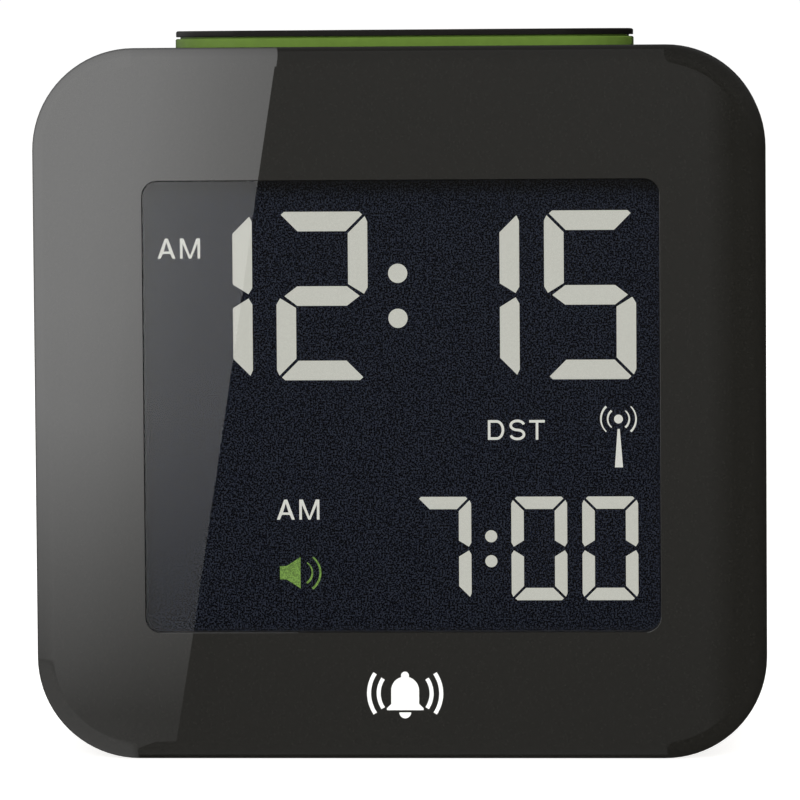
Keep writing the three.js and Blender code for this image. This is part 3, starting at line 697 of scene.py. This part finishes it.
def display_pane():
    """Clear from front to back, with its edges blackened."""
    gap, edge = PANE["gap"], 0.03
    flange = window_outline(PANE["flange"], PANE["flange_corner"])
    steps = [(-gap, PANE["step"]), (-gap, PANE["front"] + edge), (-gap - edge, PANE["front"])]
    rings = [(flange, PANE["back"]), (flange, PANE["step"]), *stepped(window_outline, steps)]
    piece = loft("pane", rings)
    piece.data.materials.append(PANE_CLEAR)
    piece.data.materials.append(FRAME_BLACK)
    for face in piece.data.polygons:
        is_side = abs(face.normal.y) < 0.3
        face.material_index = int(is_side)
    finish_piece(smooth(piece), "display_pane", "clear_pane", ["display_window"])
    piece.visible_shadow = False


# ---- What the display and the case show ----


def moved(loops, x, z, scale=1.0):
    return [[(x + u * scale, z + v * scale) for u, v in loop] for loop in loops]


def digit(lit, style):
    """Loops of the lit segments of one digit about its middle. Segments are named by their place.

    Each corner of the figure is a mitre: two segments meet at 45 degrees, with the gap between them.
    """
    half_w, half_h, t = style["width"] / 2, style["height"] / 2, style["thickness"]
    apart = style["gap"] / math.sqrt(2)
    upright = [
        (half_w, half_h - apart - 0.41 * t),
        (half_w - 0.13 * t, half_h - apart - 0.13 * t),
        (half_w - t, half_h - apart - t),
        (half_w - t, apart + 0.5 * t),
        (half_w - 0.19 * t, apart),
        (half_w, apart + 0.32 * t),
    ]
    cap = [
        (half_w - apart - 0.31 * t, half_h),
        (half_w - apart - 0.15 * t, half_h - 0.15 * t),
        (half_w - apart - t, half_h - t),
    ]
    tongue = [(half_w - 1.07 * t, 0.5 * t), (half_w - 0.41 * t, 0), (half_w - 1.07 * t, -0.5 * t)]

    def both_sides(points):
        return points + [(-u, v) for u, v in reversed(points)]

    shapes = {
        "top": both_sides(cap),
        "middle": both_sides(tongue),
        "bottom": [(u, -v) for u, v in both_sides(cap)],
        "upper_right": upright,
        "upper_left": [(-u, v) for u, v in upright],
        "lower_right": [(u, -v) for u, v in upright],
        "lower_left": [(-u, -v) for u, v in upright],
    }
    return [shapes[name] for name in lit]


SEGMENTS = {
    "0": "top upper_left upper_right lower_left lower_right bottom",
    "1": "upper_right lower_right",
    "2": "top upper_right middle lower_left bottom",
    "5": "top upper_left middle lower_right bottom",
    "7": "top upper_right lower_right",
}

TIME = {"z": 48.18, "width": 9.5, "height": 17.5, "thickness": 2.03, "gap": 0.31}
TIME_DIGITS = {-20.0: "1", -7.99: "2", 7.75: "1", 19.83: "5"}
ALARM = {"z": 21.84, "width": 5.8, "height": 10.8, "thickness": 1.29, "gap": 0.27}
ALARM_DIGITS = {4.46: "7", 14.43: "0", 21.8: "0"}
TIME_COLON = {"x": -0.11, "zs": (50.5, 45.83), "radius": 1.0}
ALARM_COLON = {"x": 9.43, "zs": (23.12, 20.52), "radius": 0.63}
MORNING_MARKS = ((-25.1, 52.13), (-12.89, 24.9))
SUMMER_MARK = (9.15, 33.16)
MAST = (22.7, 35.28)
SPEAKER = (-12.61, 19.35)
FACE_BELL = (0.5, 4.3)
BACK_SYMBOLS_Z = 52.4


def number(digits, style):
    loops = []
    for x, figure in digits.items():
        loops += moved(digit(SEGMENTS[figure].split(), style), x, style["z"])
    return loops


def colon(style):
    return [circle(style["radius"], style["x"], z, 40) for z in style["zs"]]


def ribbon(points, widths):
    """The outline of a stroke along the points, with a width at each point."""
    left, right = [], []
    for i, (x, z) in enumerate(points):
        before, after = points[max(i - 1, 0)], points[min(i + 1, len(points) - 1)]
        along = Vector((after[0] - before[0], after[1] - before[1])).normalized()
        off = Vector((-along.y, along.x)) * widths[i] / 2
        left.append((x + off.x, z + off.y))
        right.append((x - off.x, z - off.y))
    return left + right[::-1]


def arc(x, z, radius, start, end, steps=16):
    angles = [math.radians(start + (end - start) * i / steps) for i in range(steps + 1)]
    return [(x + radius * math.cos(a), z + radius * math.sin(a)) for a in angles]


def wave(x, z, radius, start, end, near, far):
    """An arc whose stroke widens from near to far."""
    points = arc(x, z, radius, start, end)
    widths = [near + (far - near) * i / (len(points) - 1) for i in range(len(points))]
    return ribbon(points, widths)


def waves_on_both_sides(z, radius, reach, near, far):
    return [wave(0, z, radius, middle - reach, middle + reach, near, far) for middle in (0, 180)]


# Each letter stands on the origin and is centred on it.


def letter_a(height, width, stroke):
    half, t = width / 2, stroke
    lean = half / height
    bar_low, bar_high = 0.24 * height, 0.24 * height + 0.85 * t

    def inner(level):
        return half - 1.08 * t - lean * level

    outer = [
        (-half, 0), (-half + 1.08 * t, 0), (-inner(bar_low), bar_low), (inner(bar_low), bar_low),
        (half - 1.08 * t, 0), (half, 0), (0.55 * t, height), (-0.55 * t, height),
    ]
    hole = [(-inner(bar_high), bar_high), (inner(bar_high), bar_high), (0, height - 1.35 * t)]
    return [outer, hole]


def letter_m(height, width, stroke):
    half, t = width / 2, stroke
    points = [
        (-half, 0), (-half + t, 0), (-half + t, 0.74 * height), (-0.42 * t, 0), (0.42 * t, 0),
        (half - t, 0.74 * height), (half - t, 0), (half, 0), (half, height), (half - 1.4 * t, height),
        (0, 1.15 * t), (-half + 1.4 * t, height), (-half, height),
    ]
    return [points]


def letter_d(height, width, stroke):
    half, rise, t = width / 2, height / 2, stroke
    bulge = 0.78 * rise

    def bowl(thinner):
        turns = arc(0, 0, 1, -90, 90)
        return [(half - bulge + u * (bulge - thinner), rise + v * (rise - thinner)) for u, v in turns]

    outer = [(-half, height), (-half, 0), *bowl(0)]
    inner = [(-half + t, height - t), (-half + t, t), *bowl(t)]
    return [outer, inner]


def letter_s(height, width, stroke):
    wide, radius = (width - stroke) / 2, (height - stroke) / 4
    low, high = stroke / 2 + radius, height - stroke / 2 - radius
    upper = [(u * wide, high + v * radius) for u, v in arc(0, 0, 1, 12, 262, 20)]
    lower = [(u * wide, low + v * radius) for u, v in arc(0, 0, 1, 82, -168, 20)]
    points = upper + lower[1:]
    return [ribbon(points, [stroke] * len(points))]


def letter_t(height, width, stroke):
    half, t = width / 2, stroke
    points = [
        (-t / 2, 0), (t / 2, 0), (t / 2, height - t), (half, height - t),
        (half, height), (-half, height), (-half, height - t), (-t / 2, height - t),
    ]
    return [points]


def morning_mark():
    """The two letters that mark a morning hour, from their lower left corner."""
    return moved(letter_a(2.09, 1.87, 0.29), 0.94, 0) + moved(letter_m(2.09, 2.1, 0.27), 3.4, 0)


def summer_mark():
    """The three letters for summer time, from their lower left corner."""
    stroke = 0.27
    return (
        moved(letter_d(2.05, 1.7, stroke), 0.85, 0)
        + moved(letter_s(2.15, 1.64, stroke), 3.06, -0.05)
        + moved(letter_t(2.05, 1.62, stroke), 5.1, 0)
    )


def mast_icon():
    """A radio mast: a tapered post under a dot, with two waves on either side."""
    post = [(-0.39, -5.02), (0.45, -5.02), (0.13, -1.03), (-0.1, -1.03)]
    loops = [circle(0.46, count=32), post]
    for radius, reach in ((1.12, 51), (1.82, 46)):
        loops += waves_on_both_sides(0, radius, reach, 0.23, 0.12)
    return loops


def speaker_icon():
    """A loudspeaker seen from the side, with two waves."""
    cone = [(0, -0.7), (0.7, -0.7), (2.15, -1.64), (2.15, 1.64), (0.7, 0.7), (0, 0.7)]
    inner = wave(2.08, 0, 1.3, 54, -57, 0.12, 0.24)
    outer = wave(2.14, 0, 2.08, 51, -53, 0.17, 0.25)
    return [cone, inner, outer]


def bell_icon():
    """A bell with its clapper, and two waves on either side."""
    foot = [(-1.9, 0.95), (-1.9, 1.15), (-1.45, 1.6)]
    body = foot + arc(0, 3.0, 1.45, 180, 110, 10) + arc(0, 4.55, 0.42, 205, -25, 12)
    body += arc(0, 3.0, 1.45, 70, 0, 10) + [(-u, v) for u, v in reversed(foot)]
    loops = [body, arc(0, 0.72, 0.62, 180, 360, 14)]
    for radius in (2.75, 3.75):
        loops += waves_on_both_sides(2.7, radius, 34, 0.42, 0.42)
    return loops


def plus_icon():
    long, short = 1.1, 0.25
    return [[
        (long, -short), (long, short), (short, short), (short, long), (-short, long), (-short, short),
        (-long, short), (-long, -short), (-short, -short), (-short, -long), (short, -long), (short, -short),
    ]]


def clock_icon():
    """A dial with two hands."""
    hand = [(-0.13, -0.13), (0.75, -0.13), (0.75, 0.13), (0.13, 0.13), (0.13, 1.0), (-0.13, 1.0)]
    return [circle(1.5, count=40), circle(1.22, count=40), hand]


def displayed():
    """The lit parts of the display lie just in front of its background."""
    morning = [loop for place in MORNING_MARKS for loop in moved(morning_mark(), *place)]
    groups = {
        "display_time": (number(TIME_DIGITS, TIME) + colon(TIME_COLON), SEGMENT_LIT),
        "display_alarm": (number(ALARM_DIGITS, ALARM) + colon(ALARM_COLON), SEGMENT_LIT),
        "display_marks": (morning + moved(summer_mark(), *SUMMER_MARK), MARK_LIT),
        "display_mast": (moved(mast_icon(), *MAST), MARK_LIT),
        "display_speaker": (moved(speaker_icon(), *SPEAKER), ICON_GREEN),
    }
    for name, (loops, material) in groups.items():
        piece = extruded(name, loops, DISPLAY - LAYER, DISPLAY)
        finish_piece(piece, name, "lcd_polariser", material=material)


def printed():
    """White symbols: a bell under the display, and one under each key on the back."""
    bell = moved(bell_icon(), *FACE_BELL)
    piece = extruded("bell_print", bell, FACE - PRINT["proud"], FACE + PRINT["sunk"])
    finish_piece(piece, "bell_print", "gloss_black_case", material=PRINT_WHITE)

    symbols = {
        "minus": [rounded_rect(2.2, 0.5, 0.1)],
        "plus": plus_icon(),
        "alarm": moved(bell_icon(), 0, -1.43, 0.55),
        "time": moved(clock_icon(), 0, 0, 0.8),
    }
    floor = BACK - PANEL["depth"]
    for key, symbol in symbols.items():
        name = f"{key}_print"
        loops = moved(symbol, KEY_XS[key], BACK_SYMBOLS_Z)
        piece = extruded(name, loops, floor - PRINT["sunk"], floor + PRINT["proud"])
        finish_piece(piece, name, "satin_black_case", material=PRINT_WHITE)


# ---- Button on top ----


def green_button():
    """A cap that is hollow below, with a skirt round its foot and a neck under the lid."""
    top, low, wall = BUTTON["top"], BUTTON["low"], BUTTON["wall"]
    skirt, chamfer, neck = SKIRT["reach"], 0.12, 0.5
    steps = [
        (-wall, top - wall), (-wall, low), (skirt, low), (skirt, SKIRT["top"]), (0, SKIRT["top"]),
        (0, top - chamfer), (-chamfer, top), (-neck, top), (-neck, LID["low"]),
    ]
    piece = smooth(loft("button", stepped(button_outline, steps), axis="z"))
    finish_piece(piece, "button_green_body", "button_green", ["button_body"], "top_button")


def button_plate():
    def plate(inset):
        return button_outline(-LID["inset"] - inset)

    lower = rounded_edge(plate, LID["low"], 1, LID["low_edge"], 3)
    upper = rounded_edge(plate, LID["high"], -1, LID["edge"], 5)
    piece = smooth(loft("lid", [*lower, *reversed(upper)], axis="z"))
    finish_piece(piece, "button_top_plate", "button_black", ["button_lid"], "top_button")


def coil_spring(name, node, x):
    """Round wire wound on a helix."""
    steps, sides = SPRING["turns"] * 28, 10
    low, high = SPRING["low"] + SPRING["wire"], SPRING["high"] - SPRING["wire"]
    rings = []
    for i in range(steps + 1):
        turn = 2 * math.pi * SPRING["turns"] * i / steps
        out = Vector((math.cos(turn), math.sin(turn), 0))
        centre = Vector((x, 0, low + (high - low) * i / steps)) + out * SPRING["radius"]
        rings.append([centre + out * u + UP * v for u, v in circle(SPRING["wire"], count=sides)])
    piece = skin(name, rings)
    piece.data.shade_smooth()
    finish_piece(piece, name, "contact_steel", [node])
    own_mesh(piece)


# ---- Controls on the back ----


def rear_key(name, x):
    """A stem, a flange behind the panel, and a round cap with a shallow dish."""
    top, stem, shoulder = KEY["top"], 1, PANEL["inside"] - 0.05
    rounds = [(KEY["radius"] - inset, top - depth) for inset, depth in reversed(quarter_round(0.45, 8))]
    dish = [(1.6, top - 0.02), (1.2, top - 0.08), (0.6, top - 0.12)]
    profile = [
        (stem, KEY["tip"]), (stem, KEY["flange_low"]), (KEY["flange"], KEY["flange_low"]),
        (KEY["flange"], shoulder), (KEY["radius"], shoulder), *rounds, *dish,
    ]
    piece = smooth(spun(name, profile, x, KEY["z"]))
    finish_piece(piece, f"{name}_key_cap", "key_black", [f"{name}_key"], f"{name}_key")


def slide_knob(name, x):
    """A plate behind the panel, a peg into the switch, and a tip with three grooves."""
    top, shoulder, edge = KNOB["top"], KNOB["shoulder"], 0.12
    plate = rounded_rect(6, 3.2, 0.3, x, SWITCH_Z)

    def tip(inset):
        return rounded_rect(KNOB["width"], KNOB["height"], KNOB["corner"], x, SWITCH_Z, -inset)

    rings = [(plate, KNOB["plate"]), (plate, shoulder)]
    rings += [(tip(0), shoulder), (tip(0), top - edge), (tip(edge), top)]
    peg = block(x - 0.8, x + 0.8, 14.3, KNOB["plate"] + 0.2, SWITCH_Z - 0.6, SWITCH_Z + 0.6)
    low, high, half, depth = SWITCH_Z - 2, SWITCH_Z + 2, 0.1, 0.25
    grooves = [block(x + dx - half, x + dx + half, top - depth, top + 1, low, high) for dx in (-0.6, 0, 0.6)]
    piece = smooth(cut(join(loft(name, rings), peg), *grooves))
    finish_piece(piece, f"{name}_knob_tip", "key_black", [f"{name}_knob"], f"{name}_knob")


# ---- Screws and cells ----


def screw(name, node, style, x, z):
    """A shank with a narrow tip, under a domed head with a cross recess."""
    seat, head, radius = style["seat"], style["head"], style["radius"]
    height = head * 0.75
    tip = seat - style["length"]
    profile = [
        (radius * 0.5, tip), (radius, tip + 1), (radius, seat), (head, seat),
        (head, seat + height * 0.55), (head * 0.92, seat + height * 0.8), (head * 0.7, seat + height),
    ]
    arm, half = head * 0.55, 0.22
    low, high = seat + height * 0.4, seat + height + 1
    piece = cut(
        spun(name, profile, x, z, 32),
        block(x - arm, x + arm, low, high, z - half, z + half),
        block(x - half, x + half, low, high, z - arm, z + arm),
    )
    finish_piece(smooth(piece), name, "screw_steel", [node])


def cell(name, node, z, facing):
    """An AAA cell along X, its positive end towards facing, 1 or -1."""
    radius, length = CELL["radius"], CELL["length"]
    can = length - 1
    metal_end = [(3.4, 0.3), (3.8, 0.02), (radius - 0.4, 0.02), (radius - 0.1, 0.3)]
    sleeve = [(radius - 0.1, 0.32), (radius, 0.4), (radius, can - 0.6), (radius - 0.15, can - 0.3)]
    top = [(radius - 0.5, can - 0.05), (2.3, can - 0.05), (1.9, can), (1.9, length - 0.3), (1.6, length)]
    profile = metal_end + sleeve + top
    rings = [
        (circle(r, CELL["y"], z, 40), facing * (CELL["tip"] - length + along)) for r, along in profile
    ]
    piece = loft(name, rings, axis="x")
    piece.data.materials.append(STEEL)
    piece.data.materials.append(CELL_JACKET)
    start, stop = sorted(facing * (CELL["tip"] - length + along) * MM for along in (0.31, can - 0.4))
    for face in piece.data.polygons:
        is_sleeve = start < face.center.x < stop and abs(face.normal.x) < 0.9
        face.material_index = int(is_sleeve)
    finish_piece(smooth(piece), name, "cell_jacket", [node])


# ---- Stage ----


def glowing_card(name, rows, brightness):
    """A card that only reflections see, from rows of points and a function that gives its brightness."""
    bm = bmesh.new()
    grid = [[bm.verts.new(point) for point in row] for row in rows]
    for one, other in zip(grid, grid[1:]):
        for i in range(len(one) - 1):
            bm.faces.new((one[i], one[i + 1], other[i + 1], other[i]))
    card = from_bmesh(name, bm)
    nodes = Nodes(name)
    emission = nodes.new("Emission")
    nodes.link(emission.outputs["Emission"], nodes.tree.nodes["Material Output"].inputs["Surface"])
    nodes.link(brightness(nodes), emission.inputs["Strength"])
    card.data.materials.append(nodes.material)
    card.visible_camera = False
    card.visible_diffuse = False
    card.visible_shadow = False
    card.visible_transmission = False
    card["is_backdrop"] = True


GLARE = {"y": -0.019, "z": 0.074, "radius": 0.781, "strength": 4.3}
GLARE_EDGE = {"x": -0.0748, "slope": 0.1435, "drop": 0.2}


def on_dome(around, level=1.0):
    """The y and z of a point on the dome about the face's top edge, where level is 1 at its rim."""
    reach = GLARE["radius"] * level
    return GLARE["y"] - reach * math.cos(around), GLARE["z"] + reach * math.sin(around)


def glare_edge(z):
    """The softbox's right edge: upright above the face's top edge, then slanting, and upright again below."""
    return GLARE_EDGE["x"] - GLARE_EDGE["slope"] * min(max(GLARE["z"] - z, 0), GLARE_EDGE["drop"])


def big_softbox():
    """A graded softbox, curved round the front, the left and the top, that gives the polished face its glare.

    It is a half dome about the top edge of the face, whose open rim is its right edge.
    """
    radius, turns, steps = GLARE["radius"], 72, 24
    rise = [(0.1, 0.2), (0.236, 0.17), (0.396, 0.49), (0.567, 0.89), (0.69, 0.985), (0.8, 1.0)]
    spread = [(0.0, 0.6), (0.2, 0.68), (0.4, 0.8), (0.6, 0.92), (0.8, 0.98), (1.0, 1.0)]
    behind = [(0.0, 1.0), (0.25, 0.97), (0.5, 0.75), (0.75, 0.38), (0.85, 0.18), (0.96, 0.02)]
    rows = []
    for i in range(turns + 1):
        around = 2 * math.pi * i / turns - math.pi
        row = []
        for j in range(steps + 1):
            out = math.pi / 2 * j / steps
            y, z = on_dome(around, math.cos(out))
            row.append((glare_edge(z) - radius * math.sin(out), y, z))
        rows.append(row)

    def brightness(nodes):
        x, y, z = nodes.axes()
        below = nodes.math("MAXIMUM", nodes.math("SUBTRACT", GLARE["z"], z), 0.0)
        drop = nodes.math("MINIMUM", below, GLARE_EDGE["drop"])
        edge = nodes.math("MULTIPLY_ADD", drop, -GLARE_EDGE["slope"], GLARE_EDGE["x"])
        inward = nodes.math("SUBTRACT", edge, x)
        by_height = nodes.ramp(nodes.graded(z, -0.14, 0.08), rise)
        by_edge = nodes.ramp(nodes.graded(inward, 0.0, 0.05), spread)
        by_depth = nodes.ramp(nodes.graded(y, -radius, radius), behind)
        total = nodes.math("MULTIPLY", nodes.math("MULTIPLY", by_height, by_edge), by_depth)
        return nodes.math("MULTIPLY", total, GLARE["strength"])

    glowing_card("big_softbox", rows, brightness)


def front_strip():
    """A dim strip beside the softbox, round the front from below to above, that fades at its right."""
    right, fade, reach, steps = 0.0375, 0.007, math.radians(100), 40
    rows = []
    for i in range(steps + 1):
        y, z = on_dome(reach * (2 * i / steps - 1))
        rows.append([(x, y, z) for x in (glare_edge(z), right - fade, right)])

    def brightness(nodes):
        x, _, z = nodes.axes()
        by_edge = nodes.graded(x, right - fade, right, 1.0, 0.1)
        by_height = nodes.graded(z, -0.08, 0.07, 0.18, 0.27)
        return nodes.math("MULTIPLY", by_edge, by_height)

    glowing_card("front_strip", rows, brightness)


def area_light(name, place, aim, size, power, colour=(1, 1, 1)):
    """A soft lamp that is not itself seen in reflections or through clear parts."""
    light = bpy.data.lights.new(name, "AREA")
    light.shape = "RECTANGLE"
    light.size, light.size_y = size
    light.energy = power
    light.color = colour
    holder = make_object(name, light)
    holder.location = place
    holder.rotation_euler = (Vector(aim) - Vector(place)).to_track_quat("-Z", "Y").to_euler()
    holder.visible_glossy = False
    holder.visible_transmission = False


def surroundings():
    """White to look at, soft light all round, and dark in reflections."""
    world = bpy.data.worlds.new("studio")
    world.use_nodes = True
    bpy.context.scene.world = world
    sky = Tree(world.node_tree, "Generated")

    def filled(background, colour, strength):
        background.inputs["Color"].default_value = (*colour, 1)
        background.inputs["Strength"].default_value = strength
        return background.outputs["Background"]

    def chosen(share, one, other):
        node = sky.new("MixShader")
        for source, socket in zip((share, one, other), node.inputs):
            sky.link(source, socket)
        return node.outputs["Shader"]

    light = filled(sky.tree.nodes["Background"], (1, 0.985, 0.96), 0.45)
    white = filled(sky.new("Background"), (1, 1, 1), 1.02)
    dark = sky.new("Background")
    _, _, z = sky.axes()
    sky.link(sky.ramp(sky.graded(z, -0.2, 1.0), [(0.15, 0.01), (0.6, 0.1)]), dark.inputs["Color"])
    rays = sky.new("LightPath").outputs
    seen = chosen(rays["Is Camera Ray"], light, white)
    mirrored = sky.math("MAXIMUM", rays["Is Glossy Ray"], rays["Is Singular Ray"])
    surface = chosen(mirrored, seen, dark.outputs["Background"])
    sky.link(surface, sky.tree.nodes["World Output"].inputs["Surface"])


def floor():
    reach = 6.0
    bm = bmesh.new()
    corners = [(-reach, -reach, 0), (reach, -reach, 0), (reach, reach, 0), (-reach, reach, 0)]
    bm.faces.new([bm.verts.new(corner) for corner in corners])
    ground = from_bmesh("floor", bm)
    nodes = Nodes("pale_floor")
    nodes.feed(nodes.ramp(nodes.noise(400.0), [(0.3, 0.48), (0.7, 0.52)]), "Base Color")
    nodes.set(Roughness=0.9, Specular_IOR_Level=0.0)
    nodes.set(Emission_Color=(1, 0.99, 0.975, 1), Emission_Strength=0.86)
    ground.data.materials.append(nodes.material)
    ground.visible_glossy = False
    ground.visible_transmission = False
    ground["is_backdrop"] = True


def studio():
    surroundings()
    floor()
    big_softbox()
    front_strip()
    area_light("key", (-0.1, -0.75, 0.35), (0, 0, 0.05), (0.4, 0.3), 3.7, (0.98, 0.99, 1.0))
    area_light("rear_key", (0.35, 0.7, 0.6), (0, 0, 0.04), (0.5, 0.4), 3.0)


def camera():
    """Level with the top of the case and a little to the right of its middle."""
    azimuth, elevation, tilt, distance = math.radians(3.34), math.radians(3.61), math.radians(-0.41), 0.6
    aim = Vector((-0.924, 0, 36.294)) * MM
    level = Vector((math.sin(azimuth), -math.cos(azimuth), 0))
    back = level * math.cos(elevation) + UP * math.sin(elevation)
    data = bpy.data.cameras.new("camera")
    data.lens = 252.86
    data.clip_start = 0.01
    holder = make_object("camera", data)
    holder.location = aim + back * distance
    holder.rotation_euler = (-back).to_track_quat("-Z", "Y").to_euler()
    holder.rotation_euler.rotate_axis("Z", tilt)
    bpy.context.scene.camera = holder


bpy.context.scene.view_settings.view_transform = "Standard"

dress_cad_nodes()
front_case()
rear_case()
battery_door()
display_pane()
displayed()
printed()
green_button()
button_plate()
coil_spring("spring_left", "button_spring_left", -SPRING["x"])
coil_spring("spring_right", "button_spring_right", SPRING["x"])
for key_name, key_x in KEY_XS.items():
    rear_key(key_name, key_x)
for knob_name, (knob_x, _) in KNOBS.items():
    slide_knob(knob_name, knob_x)
for screw_kind, screw_style in {"case": CASE_SCREW, "board": BOARD_SCREW}.items():
    for count, spot in enumerate(screw_places(screw_style), 1):
        screw(f"{screw_kind}_screw_head_{count}", f"{screw_kind}_screw_{count}", screw_style, *spot)
cell("cell_upper", "battery_upper", CELL["high_z"], 1)
cell("cell_lower", "battery_lower", CELL["low_z"], -1)
studio()
camera()

boxes = {"cad": cad_box, "visual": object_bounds()}
{name: [list(corner) for corner in box] for name, box in boxes.items()}
